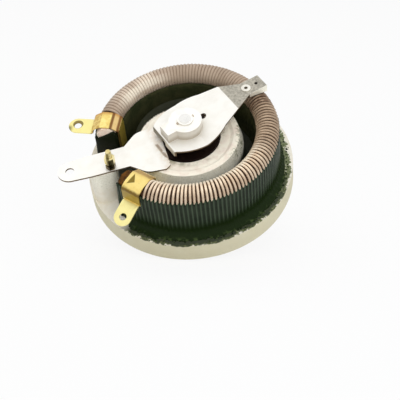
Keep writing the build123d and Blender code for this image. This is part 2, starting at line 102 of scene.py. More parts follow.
# Fine winding: the close-wound section and the darker one beside the upper strap
fine_first = 10.3
fine_pitch = 2.4
dense_first = 122.5
dense_pitch = 2.7
fine_last = 139.9
fine_width = 0.84
dense_width = 0.9
fine_height = 0.65
fine_leans = (6.0, 182.0)
bed_depth = 0.42
wound_half = 6.2
turn_steps = 26

# Enamel: how far its lip, its foot and its walls wander
lip_wander = 0.3
foot_wander = 0.9
foot_fray = 0.7
wall_wander = 0.15
wall_ripple = 0.12
coat_steps = 1150
speck_count = 240

# Straps: half-width over the flanks and over the flat top, its rise, and the sheet
strap_half = 7.0
strap_flat = 2.9
strap_rise = 5.55
strap_sheet = 0.7
strap_width = 10.8
strap_leg = 16.0
strap_bulge = 0.10
strap_dent = 0.14
lug_width = 9.8
lug_hole = 2.2
upper_strap_angle = 149.8
lower_strap_angle = -145.4
upper_lug_angle = 150.6
upper_lug_length = 13.85
upper_lug_up = 0.55
lower_lug_length = 12.4
lower_lug_up = -4.35
lower_lug_slope = math.atan2(5.2, 11.4)

# Three-cornered mark pressed in the top of the lower strap, as (across, along) corners
pressed_mark = [(-2.8, -3.6), (4.8, -4.0), (2.2, -0.4)]
press_depth = 0.5

# Grain of rolled sheet and of drawn rod, as scales along x, y and z
rolled = (0.12, 1.4, 1.0)
drawn = (1.4, 1.4, 0.15)


def polar(radius, angle, height):
    """Point in metres at a radius, an angle and a height."""
    turn = math.radians(angle)
    return Vector((radius * math.cos(turn), radius * math.sin(turn), height)) * MM


def smooth(low, high, value):
    """Eased step from 0 at low to 1 at high."""
    share = min(max((value - low) / (high - low), 0.0), 1.0)
    return share * share * (3.0 - 2.0 * share)


def sides_of(corners):
    """Pairs of neighbouring corners round a closed outline."""
    return zip(corners, corners[1:] + corners[:1])


def wobble(angle, across, scale, seed):
    """Repeatable unevenness between -1 and 1 that closes round the ring."""
    turn = math.radians(angle)
    return noise.noise(Vector((math.cos(turn) * scale, math.sin(turn) * scale, across + seed)))


# Materials

def srgb(red, green, blue):
    """Linear colour from a screen colour in 0 to 255."""
    channels = []
    for value in (red, green, blue):
        value /= 255
        channels.append(value / 12.92 if value <= 0.04045 else ((value + 0.055) / 1.055) ** 2.4)
    return (*channels, 1.0)


class Finish:
    """Node material on object coordinates, whose lengths are millimetres and whose angles are degrees.

    Its methods add nodes. A value is a number, a colour or another node's output, and a mask is a value
    from 0 to 1.
    """

    def __init__(self, name, roughness, metallic=0.0, specular=0.5):
        self.material = bpy.data.materials.new(name)
        self.material.use_nodes = True
        self.tree = self.material.node_tree
        self.surface = self.tree.nodes["Principled BSDF"]
        sockets = {"Roughness": roughness, "Metallic": metallic, "Specular IOR Level": specular}
        for socket, value in sockets.items():
            self.surface.inputs[socket].default_value = value
        coordinates = self.tree.nodes.new("ShaderNodeTexCoord")
        self.place = coordinates.outputs["Object"]
        self.normal = coordinates.outputs["Normal"]

    def link(self, value, socket):
        """Sets a socket to a number or colour, or links another node's output to it."""
        if isinstance(value, bpy.types.NodeSocket):
            self.tree.links.new(value, socket)
        else:
            socket.default_value = value

    def add(self, kind, **inputs):
        """New node with its inputs set or linked by name."""
        node = self.tree.nodes.new("ShaderNode" + kind)
        for socket, value in inputs.items():
            self.link(value, node.inputs[socket.replace("_", " ")])
        return node

    def noise(self, size, detail=3.0, roughness=0.55, place=None):
        """Fractal noise from 0 to 1 whose coarsest lumps are about as large as size."""
        node = self.add("TexNoise", Vector=place or self.place, Scale=1.0 / (size * MM), Detail=detail,
                        Roughness=roughness)
        return node.outputs["Fac"]

    def turned(self, angle, grain=(1.0, 1.0, 1.0)):
        """Coordinates turned about the shaft axis, then scaled, for grain that runs one way."""
        spin = self.add("Mapping", Vector=self.place, Rotation=(0, 0, math.radians(-angle)))
        return self.add("Mapping", Vector=spin.outputs["Vector"], Scale=grain).outputs["Vector"]

    def math(self, kind, first, second=0.0):
        """Result of one operation on one or two values."""
        node = self.tree.nodes.new("ShaderNodeMath")
        node.operation = kind
        self.link(first, node.inputs[0])
        self.link(second, node.inputs[1])
        return node.outputs[0]

    def plus(self, first, second):
        return self.math("ADD", first, second)

    def minus(self, first, second):
        return self.math("SUBTRACT", first, second)

    def times(self, first, second):
        return self.math("MULTIPLY", first, second)

    def hypot(self, first, second):
        """Length of the line whose two components are given."""
        return self.math("SQRT", self.plus(self.times(first, first), self.times(second, second)))

    def wave(self, value, length):
        """Sine that repeats at a length."""
        return self.math("SINE", self.times(value, 2 * math.pi / length))

    def axis(self, index, place=None):
        """One coordinate."""
        return self.math("DIVIDE", self.add("SeparateXYZ", Vector=place or self.place).outputs[index], MM)

    def radius(self):
        """Distance from the shaft axis."""
        return self.hypot(self.axis(0), self.axis(1))

    def angle(self):
        """Angle about the shaft axis, from -180 to 180."""
        return self.math("DEGREES", self.math("ARCTAN2", self.axis(1), self.axis(0)))

    def band(self, value, low, high):
        """Mask that is 0 below low and 1 above high, or the other way round if low is larger."""
        node = self.add("MapRange", Value=value, From_Min=min(low, high), From_Max=max(low, high),
                        To_Min=float(low > high), To_Max=float(low < high))
        node.interpolation_type = "SMOOTHSTEP"
        return node.outputs["Result"]

    def line(self, value, middle, half):
        """Mask that is 1 at a middle value and falls to 0 at a half width from it."""
        away = self.math("ABSOLUTE", self.minus(value, middle))
        return self.band(away, half, half * 0.3)

    def upright(self):
        """Mask of faces parallel to the shaft axis, such as the cut edge of a level sheet."""
        up = self.add("SeparateXYZ", Vector=self.normal).outputs[2]
        return self.band(self.math("ABSOLUTE", up), 0.6, 0.35)

    def all_of(self, *masks):
        """Product of several masks."""
        total = masks[0]
        for mask in masks[1:]:
            total = self.times(total, mask)
        return total

    def mix(self, share, first, second):
        """Blend of two colours."""
        node = self.tree.nodes.new("ShaderNodeMix")
        node.data_type = "RGBA"
        for index, value in ((0, share), (6, first), (7, second)):
            self.link(value, node.inputs[index])
        return node.outputs[2]

    def tint(self, colour, over, share, *masks):
        """Colour with another laid over it, as strongly as share where every mask is 1."""
        return self.mix(self.all_of(share, *masks), colour, over)

    def colour(self, value):
        self.link(value, self.surface.inputs["Base Color"])

    def rough(self, value, low, high):
        """Roughness that follows a mask."""
        node = self.add("MapRange", Value=value, To_Min=low, To_Max=high)
        self.link(node.outputs["Result"], self.surface.inputs["Roughness"])

    def bump(self, height, depth):
        """Relief of that depth, on top of what is there already."""
        node = self.add("Bump", Height=height, Distance=depth * MM, Strength=1.0)
        before = self.surface.inputs["Normal"].links
        if before:
            self.link(before[0].from_socket, node.inputs["Normal"])
        self.link(node.outputs["Normal"], self.surface.inputs["Normal"])


def white_ceramic():
    """Porous steatite: cream and pinkish on top, lightened on the slope by painted light, with green frit
    where glass ran.
    """
    specular, bare_rough, glass_rough = 0.3, 0.72, 0.34
    f = Finish("white_ceramic", bare_rough, specular=specular)
    blotch, speck = f.noise(9.0, 5.0, 0.6), f.noise(0.9, 4.0, 0.7)
    radius, height, turn = f.radius(), f.axis(2), f.angle()
    colour = f.mix(f.band(blotch, 0.35, 0.7), srgb(245, 240, 226), srgb(234, 225, 204))

    colour = f.tint(colour, srgb(218, 211, 178), 0.8, f.band(radius, base_radius - 1.2, base_radius - 0.5),
                    f.band(height, base_height, base_height - 0.8))
    on_top = f.band(height, pedestal_top - 2.1, pedestal_top - 1.1)
    pinkish = f.mix(f.band(f.noise(5.0, 4.0, 0.6), 0.4, 0.65), srgb(252, 245, 228), srgb(240, 225, 209))
    colour = f.tint(colour, pinkish, 0.8, on_top, f.band(radius, crown_edge + 0.8, crown_edge - 0.6))
    # Painted light: the slope, which the winding shades, is lifted to a paler speckled tone.
    painted_slope_light = f.mix(f.band(speck, 0.35, 0.62), srgb(254, 251, 236), srgb(236, 232, 214))
    colour = f.tint(colour, painted_slope_light, 0.9, f.band(radius, crown_edge - 0.6, crown_edge + 0.2),
                    f.band(height, 20.0, 29.0))
    colour = f.tint(colour, srgb(136, 132, 98), 0.7, on_top, f.band(radius, well_edge + 3.5, well_edge),
                    f.band(blotch, 0.44, 0.60))
    brim = f.all_of(f.band(radius, crown_edge - 2.6, crown_edge - 0.4), f.line(turn, -26.0, 40.0),
                    f.band(radius, crown_edge + 2.6, crown_edge + 1.6), f.band(height, 29.0, 32.0),
                    f.band(f.noise(2.2, 5.0, 0.7), 0.46, 0.58))
    colour = f.tint(colour, srgb(112, 118, 78), 0.75, brim)

    # Green glass that climbs the far shoulder of the crown, up to a round edge a little off the shaft axis
    glass_x, glass_y, glass_edge = -1.5, -3.0, 25.0
    ragged = f.times(f.minus(speck, 0.5), 1.2)
    away = f.plus(f.hypot(f.minus(f.axis(0), glass_x), f.minus(f.axis(1), glass_y)), ragged)
    far_side = f.all_of(f.band(away, glass_edge, glass_edge + 0.7), f.band(height, 28.0, 30.0),
                        f.band(turn, 46.0, 60.0), f.band(turn, 178.0, 166.0))
    colour = f.tint(colour, srgb(20, 25, 10), 0.98, far_side)

    # Frit on the slope, thickest on the side of the arm, and near-black green in the trench
    sprayed = f.all_of(f.band(radius, crown_edge - 1.2, crown_edge + 2.6), f.line(turn, -8.0, 62.0))
    grains = f.band(f.plus(f.noise(1.3, 5.0, 0.7), f.times(sprayed, 0.09)), 0.62, 0.72)
    colour = f.tint(colour, srgb(92, 98, 56), 1.0, grains,
                    f.band(radius, crown_edge - 2.9, crown_edge - 1.2), f.band(height, 20.0, 26.0))
    trench = f.all_of(f.band(radius, crown_edge + 0.8, crown_edge + 2.0), f.band(radius, 40.0, 38.5),
                      f.band(height, 29.0, 25.5), f.band(height, 8.0, 11.0))
    colour = f.tint(colour, srgb(30, 38, 22), 0.96, trench)

    # Frit over the rim of the base, stopping short of the terminals
    rim = f.all_of(f.band(radius, 48.0, 49.5), f.band(turn, 138.0, 126.0), f.band(turn, -154.0, -146.0))
    run = f.plus(f.times(f.noise(5.0, 3.0, 0.6), 0.55), f.times(f.noise(1.5, 5.0, 0.7), 0.45))
    run = f.minus(run, f.times(f.band(height, base_height, base_height - 2.2), 0.30))
    run = f.minus(run, f.times(f.band(radius, base_radius - 2.5, base_radius + 0.2), 0.16))
    sparse = f.line(turn, -2.0, 54.0)
    run = f.minus(run, f.all_of(sparse, f.band(radius, 49.0, 51.5), 0.14))
    spill = f.all_of(rim, f.band(run, 0.30, 0.33))
    olive = f.mix(f.band(speck, 0.4, 0.62), srgb(70, 84, 42), srgb(116, 122, 74))
    frit = f.mix(f.band(run, 0.33, 0.44), olive, srgb(30, 44, 18))
    frit = f.tint(frit, srgb(132, 142, 100), 0.5, sparse)
    colour = f.tint(colour, frit, 0.95, spill)
    f.colour(f.tint(colour, srgb(160, 150, 120), 0.4, f.band(speck, 0.62, 0.75), f.band(blotch, 0.45, 0.6)))
    unglazed = f.minus(1.0, f.math("MAXIMUM", far_side, f.times(spill, 0.8)))
    f.link(f.times(unglazed, specular), f.surface.inputs["Specular IOR Level"])
    f.rough(spill, bare_rough, glass_rough)
    f.bump(f.times(f.wave(radius, 1.7), f.band(height, 2.5, 1.5)), 0.05)
    for relief, depth in ((speck, 0.10), (blotch, 0.25), (spill, 0.12)):
        f.bump(relief, depth)
    return f.material


def core_ceramic():
    """Fired body of the core: pinkish white at one end, heat-browned and darkened by painted shade at the
    other, and darker under the turns.
    """
    f = Finish("core_ceramic", 0.8, specular=0.25)
    blotch, turn = f.noise(4.0, 4.0), f.angle()
    bare = f.mix(f.band(blotch, 0.3, 0.7), srgb(254, 236, 218), srgb(244, 216, 196))
    bare = f.mix(f.band(f.radius(), 45.5, 47.5), bare, srgb(236, 226, 204))
    # The heat-browned end is darkened further by painted shade.
    scorch_and_shade = f.mix(f.band(blotch, 0.35, 0.6), srgb(104, 64, 16), srgb(62, 38, 8))
    turn_gap_tone = f.mix(f.band(blotch, 0.3, 0.7), srgb(84, 58, 40), srgb(52, 38, 28))
    end_tone = f.mix(f.band(turn, -5.7, 5.7), scorch_and_shade, bare)
    under_turns = f.band(f.math("ABSOLUTE", turn), core_end - 4.6, core_end - 5.6)
    f.colour(f.mix(under_turns, end_tone, turn_gap_tone))
    f.bump(f.noise(0.7, 4.0), 0.12)
    return f.material


def wire_metal(name, light, dark, brown, spot_size, roughness, bright_from, bright_to):
    """Oxidised resistance wire, its tint drifting from turn to turn and browner outside a bright stretch; on
    the fine wire that stretch is painted light and the browner rest painted shade.
    """
    fade = 12.0
    f = Finish(name, roughness, metallic=0.3)
    drift, fleck = f.noise(spot_size, 3.0, 0.6), f.noise(0.5, 3.0, 0.6)
    radius, turn = f.radius(), f.angle()
    # On the fine wire the bright stretch is painted light and the browner rest painted shade.
    bright = f.all_of(f.band(turn, bright_from - fade, bright_from + fade),
                      f.band(turn, bright_to + fade, bright_to - fade))
    heat_and_shade_tone = f.tint(brown, dark, 0.45, f.band(drift, 0.3, 0.7))
    colour = f.mix(bright, heat_and_shade_tone, f.mix(f.band(drift, 0.32, 0.68), light, dark))
    colour = f.tint(colour, brown, 0.45, f.band(radius, core_centre + 1.3, core_centre + 5.3))
    colour = f.tint(colour, srgb(104, 80, 62), 0.4, f.band(fleck, 0.55, 0.75))
    # Darker beside the arm: scorch, with the painted shadow of the arm's tip.
    beside_arm = f.line(turn, rest_angle - 9.0, 9.0)
    colour = f.tint(colour, srgb(98, 68, 48), 0.75, beside_arm, f.band(f.noise(3.0, 3.0), 0.3, 0.55))
    # Painted highlight along the inner top of the turns.
    painted_highlight = f.all_of(f.band(radius, core_centre - 6.0, core_centre - 4.6), f.band(f.axis(2), 40.0, 42.0),
                      f.band(radius, core_centre - 1.0, core_centre - 2.6), bright)
    f.colour(f.tint(colour, srgb(255, 248, 230), 0.5, painted_highlight))
    f.rough(fleck, roughness - 0.1, roughness + 0.15)
    f.bump(fleck, 0.03)
    return f.material


def green_enamel():
    """Bottle-green glass coat, browner and thinner inside, paler where it ran out on the base."""
    f = Finish("green_enamel", 0.3, specular=0.09)
    radius, height, turn = f.radius(), f.axis(2), f.angle()
    shade = f.band(f.noise(7.0, 4.0, 0.6), 0.3, 0.7)
    lining = f.mix(shade, srgb(74, 74, 48), srgb(50, 56, 34))
    tips = f.band(f.math("ABSOLUTE", turn), core_end - 1.2, core_end - 0.6)
    colour = f.tint(f.mix(shade, srgb(38, 48, 32), srgb(22, 32, 18)), lining, 1.0,
                    f.band(radius, core_centre + 0.3, core_centre - 1.7), f.minus(1.0, tips))
    colour = f.tint(colour, srgb(20, 24, 10), 0.9, tips)
    # Painted highlights along the ribs that the wires raise in the coat.
    over_wire = f.math("COSINE", f.times(f.minus(turn, coarse_first), 2 * math.pi / coarse_pitch))
    ribs = f.all_of(f.band(over_wire, 0.1, 0.9), f.band(radius, 47.6, 48.2), f.band(height, 16.0, 22.0),
                    f.band(turn, coarse_last + 2.0, coarse_last))
    colour = f.tint(colour, srgb(92, 108, 86), 0.42, ribs)
    colour = f.tint(colour, srgb(22, 36, 8), 1.0, f.band(height, 25.0, 17.0), f.band(radius, 47.0, 48.0))
    thin = f.all_of(f.band(height, base_height + 4.1, base_height + 0.3), f.band(radius, 49.5, 52.5),
                    f.band(f.noise(2.2, 5.0, 0.65), 0.5, 0.62))
    f.colour(f.tint(colour, srgb(84, 100, 56), 0.7, thin))
    f.rough(f.noise(1.6, 4.0), 0.2, 0.5)
    f.bump(f.noise(1.1, 3.0), 0.10)
    return f.material


def plated(name, light, dark, roughness, grain=(1.0, 1.0, 1.0), grain_angle=0.0, sheet_tones=None, metallic=1.0):
    """Plated sheet with a faint rolling grain, handling marks and, where given, tones of its own, painted
    light and shade among them.
    """
    f = Finish(name, roughness, metallic)
    cloud = f.noise(8.0, 4.0, 0.6)
    lines = f.noise(0.8, 4.0, 0.7, f.turned(grain_angle, grain))
    colour = f.mix(f.band(cloud, 0.35, 0.75), light, dark)
    f.colour(sheet_tones(f, colour) if sheet_tones else colour)
    f.rough(f.times(f.plus(cloud, lines), 0.5), roughness - 0.08, roughness + 0.12)
    f.bump(lines, 0.012)
    return f.material


def arm_wear_and_painted_light(f, colour):
    """Painted reflection greys the level end of the arm, painted shade darkens its bent-down tail and a
    painted highlight lights the near flange of its tip; its sheared edge shows the base metal.
    """
    tail, grey_tip_from, tip_from = -13.4, 26.5, 37.0
    arm = f.turned(rest_angle)
    along, across, upright = f.axis(0, arm), f.axis(1, arm), f.upright()
    # Painted reflection: the end of the arm beyond its fold is greyed.
    grey = f.mix(f.band(f.noise(1.4, 5.0, 0.7), 0.35, 0.65), srgb(140, 135, 122), srgb(188, 182, 167))
    middle = f.band(f.math("ABSOLUTE", across), 4.65, 4.4)
    colour = f.tint(colour, grey, 0.94, f.band(along, grey_tip_from - 0.3, grey_tip_from + 0.3),
                    f.math("MAXIMUM", middle, f.band(along, tip_from + 0.2, tip_from - 0.4)))
    # Painted shade on the bent-down tail.
    shaded = f.mix(f.band(across, -3.0, 1.0), srgb(206, 198, 180), srgb(104, 96, 72))
    colour = f.tint(colour, shaded, 0.9, f.band(along, tail + 0.3, tail - 0.2),
                    f.band(f.axis(2), arm_flat, arm_flat - 0.4))
    # Painted highlight on the near flange of the tip.
    colour = f.tint(colour, srgb(255, 252, 236), 1.0, f.band(along, tip_from - 0.2, tip_from + 0.4), upright,
                    f.band(across, -4.0, -4.4))
    return f.tint(colour, srgb(124, 106, 84), 1.0, f.band(along, tail - 0.4, tail),
                  f.band(along, tip_from + 0.2, tip_from - 0.2), upright)


def terminal_wear_and_painted_shade(f, colour):
    """Grey film on the middle terminal's face, a warmer tint towards the arm, the painted shadow of the arm's
    tail, and a sheared edge.
    """
    x, y = f.axis(0), f.axis(1)
    colour = f.tint(colour, srgb(222, 216, 202), 0.12, f.band(f.noise(6.0, 5.0, 0.65), 0.5, 0.75))
    colour = f.tint(colour, srgb(226, 202, 172), 0.35, f.band(x, -20.0, -16.5),
                    f.band(f.noise(2.0, 4.0), 0.3, 0.6))
    # Painted shadow of the arm's bent-down tail.
    painted_tail_shadow = f.line(f.plus(x, f.times(y, 0.19)), -16.9, 1.2)
    colour = f.tint(colour, srgb(150, 128, 104), 0.8, painted_tail_shadow, f.band(y, 1.2, -0.4),
                    f.band(f.noise(1.8, 4.0), 0.35, 0.50))
    return f.mix(f.upright(), colour, srgb(120, 102, 78))


def shaft_steel(f, colour):
    """Bright on the end that shows above the arm, greyer below."""
    return f.tint(colour, srgb(188, 188, 186), 0.85, f.band(f.axis(2), 33.0, 24.0))


def brass(name, light, dark, brass_tones=None, metallic=1.0):
    """Brass with brown heat tint, and the tones, painted light and shade among them, that one strap or screw
    has of its own.
    """
    f = Finish(name, 0.3, metallic)
    cloud = f.noise(3.5, 5.0, 0.62)
    colour = f.mix(f.band(cloud, 0.4, 0.7), light, dark)
    colour = f.tint(colour, srgb(140, 94, 34), 0.5, f.band(f.noise(1.3, 5.0, 0.7), 0.58, 0.75))
    f.colour(brass_tones(f, colour) if brass_tones else colour)
    f.rough(cloud, 0.22, 0.45)
    f.bump(f.noise(1.0, 3.0), 0.03)
    return f.material


def strap_places(f, angle):
    """Distances across the core, along it and above the crest's centre, at a strap."""
    strap = f.turned(angle)
    return f.minus(f.axis(0, strap), core_centre), f.axis(1, strap), f.minus(f.axis(2), crest_level)


def upper_tarnish_and_painted_light(f, colour):
    """Brown creases, an orange back edge, an inner leg lit mustard by painted light, and a pale lug with
    painted shade round its eyelet and a painted dark reflection at its end.
    """
    across, along, up = strap_places(f, upper_strap_angle)
    lug = f.band(across, strap_half + 0.2, strap_half + 1.6)
    band_only = f.minus(1.0, lug)
    dents = f.mix(f.band(f.noise(2.6, 2.0, 0.5), 0.42, 0.6), srgb(190, 148, 66), srgb(226, 196, 116))
    colour = f.tint(colour, dents, 0.8, f.band(across, strap_flat - 0.3, strap_flat + 0.3), band_only)
    colour = f.tint(colour, srgb(226, 190, 132), 0.8, f.band(across, 0.2 - strap_flat, -0.2 - strap_flat),
                    f.band(across, -0.2 - strap_half, 0.3 - strap_half))
    colour = f.tint(colour, srgb(196, 136, 66), 0.75, f.band(along, -2.8, -5.0), band_only)
    leg = f.band(across, 0.6 - strap_half, 0.3 - strap_half)
    # Painted light: the inner leg, which reflects the dark lining, is lit mustard.
    colour = f.tint(colour, srgb(226, 198, 84), 1.0, leg, f.band(up, strap_flat, strap_flat - 0.4))
    colour = f.tint(colour, srgb(74, 48, 16), 0.9, leg, f.band(along, 3.4, 5.0))
    creases = f.math("MAXIMUM", f.line(across, -0.2 - strap_flat, 1.1), f.line(across, 0.4 - strap_half, 1.0))
    colour = f.tint(colour, srgb(116, 68, 22), 0.9, creases, f.band(up, 2.0, 2.8))
    colour = f.tint(colour, srgb(250, 240, 164), 0.8, lug)
    # Painted dark reflection on the end of the lug.
    colour = f.tint(colour, srgb(56, 54, 24), 0.9, f.band(across, 17.5, 20.5), f.band(along, 0.0, 3.4))
    # Painted shade round the eyelet.
    lug_eye = strap_half + upper_lug_length - lug_width / 2
    rim = f.band(f.hypot(f.minus(across, lug_eye), along), lug_hole + 0.75, lug_hole + 0.35)
    return f.tint(colour, srgb(112, 88, 30), 0.85, rim)


def lower_tarnish(f, colour):
    """Bright top, brown crease over a mustard leg, pale lug and a dark pressed mark."""
    across, along, up = strap_places(f, lower_strap_angle)
    top = f.band(up, strap_flat + 0.1, strap_flat + 0.7)
    colour = f.tint(colour, srgb(248, 222, 136), 0.6, top)
    colour = f.tint(colour, srgb(196, 154, 90), 0.8, top, f.band(across, -1.0, -5.6))
    colour = f.tint(colour, srgb(150, 124, 46), 0.9, f.band(up, strap_flat + 0.3, strap_flat - 0.3),
                    f.band(up, -4.2, -3.4), f.band(across, 4.0, 6.0))
    bend = f.plus(up, f.times(f.minus(f.noise(3.0, 2.0), 0.5), 1.6))
    colour = f.tint(colour, srgb(98, 70, 10), 0.9, f.line(bend, strap_flat + 0.5, 1.4),
                    f.band(across, 4.6, 5.8))
    colour = f.tint(colour, srgb(252, 244, 172), 0.8, f.band(across, strap_half + 0.4, strap_half + 1.2))
    inside = None
    for (x0, y0), (x1, y1) in sides_of(pressed_mark):
        run = math.hypot(x1 - x0, y1 - y0)
        gap = f.minus(f.times(f.minus(along, y0), (x1 - x0) / run),
                      f.times(f.minus(across, x0), (y1 - y0) / run))
        inside = gap if inside is None else f.math("MINIMUM", inside, gap)
    return f.tint(colour, srgb(116, 94, 16), 0.9, f.band(inside, -0.1, 0.3), top)


def screw_tarnish_and_painted_shade(f, colour):
    """Pale at the top of the screw, with painted shade down one side of its head and down the middle of its
    nuts, and nearly black at the foot of its nuts.
    """
    height = f.minus(f.axis(2), pedestal_top + 1.0)
    side = f.plus(f.times(f.minus(f.axis(0), stud_x), -0.93), f.times(f.minus(f.axis(1), stud_y), 0.36))
    # Painted shade down one side of the head, and down the middle of the nuts below it.
    colour = f.tint(colour, srgb(98, 86, 30), 0.85, f.line(side, 0.6, 1.3), f.band(height, 12.2, 11.2))
    colour = f.tint(colour, srgb(92, 76, 18), 0.85, f.line(side, 0.0, 1.4), f.band(height, 8.4, 6.0))
    return f.tint(colour, srgb(72, 58, 40), 0.85, f.band(height, 4.6, 2.2))


def collector_metal():
    """Brown oxidised copper with brush tracks turned in it."""
    f = Finish("collector", 0.42, metallic=0.8)
    f.colour(f.mix(f.noise(3.0, 4.0), srgb(46, 28, 22), srgb(28, 20, 20)))
    f.bump(f.wave(f.radius(), 0.5), 0.015)
    return f.material


def porcelain():
    """Dense unglazed porcelain of the hub, with painted shade on its walls that deepens towards the arm."""
    f = Finish("porcelain", 0.42, specular=0.4)
    colour = f.mix(f.band(f.noise(5.0, 4.0), 0.4, 0.75), srgb(250, 248, 242), srgb(242, 237, 226))
    # Painted shade on the walls.
    colour = f.tint(colour, srgb(214, 206, 190), 0.7, f.upright())
    # Painted shade darkening the walls towards the arm.
    f.colour(f.tint(colour, srgb(150, 132, 104), 0.6, f.band(f.axis(2), arm_flat + 4.1, arm_flat + 0.3)))
    f.bump(f.noise(0.8, 4.0), 0.04)
    return f.material


def carbon():
    """Metal-graphite of the contacts."""
    f = Finish("carbon", 0.5, metallic=0.3)
    f.colour(f.mix(f.noise(1.5, 4.0), srgb(62, 50, 46), srgb(36, 32, 32)))
    f.bump(f.noise(0.5, 3.0), 0.04)
    return f.material


finishes = {
    "white_ceramic": white_ceramic(),
    "core_ceramic": core_ceramic(),
    "coarse_wire": wire_metal("coarse_wire", srgb(254, 234, 206), srgb(222, 196, 166), srgb(160, 136, 112),
                              spot_size=6.0, roughness=0.36, bright_from=-150.0, bright_to=-46.0),
    "fine_wire": wire_metal("fine_wire", srgb(230, 214, 194), srgb(192, 172, 152), srgb(168, 148, 128),
                            spot_size=9.0, roughness=0.45, bright_from=90.0, bright_to=128.0),
    "green_enamel": green_enamel(),
    "brass": brass("brass", srgb(244, 230, 160), srgb(214, 190, 110)),
    "nickel_plate": plated("nickel_plate", srgb(248, 246, 240), srgb(241, 238, 230), 0.46, rolled, rest_angle,
                           arm_wear_and_painted_light, metallic=0.6),
    "collector": collector_metal(),
    "steel": plated("steel", srgb(248, 247, 243), srgb(234, 233, 229), 0.24, drawn, sheet_tones=shaft_steel),
    "copper_plate": plated("copper_plate", srgb(184, 146, 118), srgb(158, 122, 98), 0.38),
    "porcelain": porcelain(),
    "carbon": carbon(),
}
terminal_finish = plated("terminal_plate", srgb(252, 250, 244), srgb(246, 243, 235), 0.46, rolled,
                         sheet_tones=terminal_wear_and_painted_shade, metallic=0.6)
upper_strap_finish = brass("upper_strap_brass", srgb(255, 236, 150), srgb(240, 208, 116), upper_tarnish_and_painted_light, 0.7)
lower_strap_finish = brass("lower_strap_brass", srgb(255, 232, 150), srgb(238, 206, 120), lower_tarnish, 0.8)
bed_finish = plated("bed_cement", srgb(136, 114, 96), srgb(112, 92, 76), 0.8, metallic=0.0)
pin_finish = plated("pin_steel", srgb(208, 194, 174), srgb(184, 168, 148), 0.4)
eyelet_finish = plated("eyelet_plate", srgb(250, 247, 238), srgb(228, 222, 208), 0.3)
screw_finish = brass("screw_brass", srgb(252, 240, 186), srgb(222, 200, 122), screw_tarnish_and_painted_shade)


# Mesh building

def add_piece(name, build, slot, body="body", replaces=(), finish=None):
    """Smooth-shaded mesh of the object that rides on a body."""
    mesh = bpy.data.meshes.new(name)
    mesh.from_pydata(build.points, [], build.faces)
    piece = bpy.data.objects.new(name, mesh)
    bpy.context.collection.objects.link(piece)
    bm = bmesh.new()
    bm.from_mesh(mesh)
    bmesh.ops.recalc_face_normals(bm, faces=bm.faces)
    bm.to_mesh(mesh)
    bm.free()
    mesh.materials.append(finish or finishes[slot])
    mesh.shade_smooth()
    if replaces:
        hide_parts(*replaces)
    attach(piece, body)
    return piece


class Build:
    """Points and faces of several skins for one mesh."""

    def __init__(self):
        self.points = []
        self.faces = []

    def loft(self, rings, closed=False):
        """Skin over rings of equally many points; the ends are capped unless it closes."""
        start, count = len(self.points), len(rings[0])
        for ring in rings:
            self.points.extend(ring)
        steps = len(rings) if closed else len(rings) - 1
        for i in range(steps):
            here, there = start + i * count, start + ((i + 1) % len(rings)) * count
            for k in range(count):
                after = (k + 1) % count
                self.faces.append((here + k, here + after, there + after, there + k))
        if not closed:
            self.faces.append(tuple(range(start, start + count))[::-1])
            last = start + (len(rings) - 1) * count
            self.faces.append(tuple(range(last, last + count)))


def crest_point(offset, lean, angle):
    """Point of the section at an offset from the crest's centre, lean 0 outwards and 180 inwards."""
    turn = math.radians(lean)
    return polar(core_centre + offset * math.cos(turn), angle, crest_level + offset * math.sin(turn))


def wire_turn(build, angle, skew, width, height, offset, leans, sides):
    """One visible turn of wire over the crest between two leans, which drifts along the ring by a skew."""
    rings = []
    for i in range(turn_steps + 1):
        share = i / turn_steps
        lean = leans[0] + (leans[1] - leans[0]) * share
        here = angle + skew * (share - 0.5)
        centre = crest_point(offset, lean, here)
        outward = (crest_point(offset + 1, lean, here) - centre).normalized()
        sideways = Vector((-math.sin(math.radians(here)), math.cos(math.radians(here)), 0))
        ring = []
        for k in range(sides):
            turn = 2 * math.pi * k / sides
            ring.append(centre + (outward * math.cos(turn) * height + sideways * math.sin(turn) * width) * MM)
        rings.append(ring)
    build.loft(rings)


def coarse_winding():
    """Heavy wire, each turn round and a little out of line."""
    rng = random.Random(11)
    build = Build()
    for i in range(coarse_turns):
        angle = coarse_first + coarse_pitch * i + rng.uniform(-0.16, 0.16)
        offset = core_half + wire_radius - rng.uniform(0, 0.05)
        wire_turn(build, angle, coarse_pitch / 2, wire_radius, wire_radius, offset, coarse_leans, sides=12)
    add_piece("winding_coarse_turns", build, "coarse_wire", replaces=["winding_coarse"])


def fine_winding():
    """Close-wound flattened wire, a little opened out beside the upper strap."""
    rng = random.Random(5)
    build = Build()
    angle = fine_first
    while angle < fine_last:
        dense = angle > dense_first
        width = dense_width if dense else fine_width
        offset = wound_half - fine_height - rng.uniform(0.0, 0.06)
        wire_turn(build, angle, fine_pitch / 2, width, fine_height, offset, fine_leans, sides=14)
        angle += (dense_pitch if dense else fine_pitch) + rng.uniform(-0.06, 0.06)
    add_piece("winding_fine_turns", build, "fine_wire", replaces=["winding_fine"])


def fine_bed():
    """Dark cement that the fine wire is bedded in."""
    build = Build()
    steps, first, last = 144, fine_first - 0.6, fine_last + 0.4
    leans = [4 + 178 * k / 24 for k in range(25)]
    rings = []
    for i in range(steps + 1):
        angle = first + (last - first) * i / steps
        ring = [crest_point(wound_half - bed_depth, lean, angle) for lean in leans]
        ring += [crest_point(core_half + 0.03, lean, angle) for lean in reversed(leans)]
        rings.append(ring)
    build.loft(rings)
    add_piece("winding_fine_bed", build, "core_ceramic", finish=bed_finish)


def rib(angle):
    """Height share of the coat over the turns of wire under it, 0 to 1."""
    if angle < coarse_last + coarse_pitch / 2:
        phase = (angle - coarse_first) / coarse_pitch
        return (0.5 + 0.5 * math.cos(2 * math.pi * phase)) ** 0.8
    phase = (angle - fine_first) / fine_pitch
    return 0.3 * (0.5 + 0.5 * math.cos(2 * math.pi * phase))


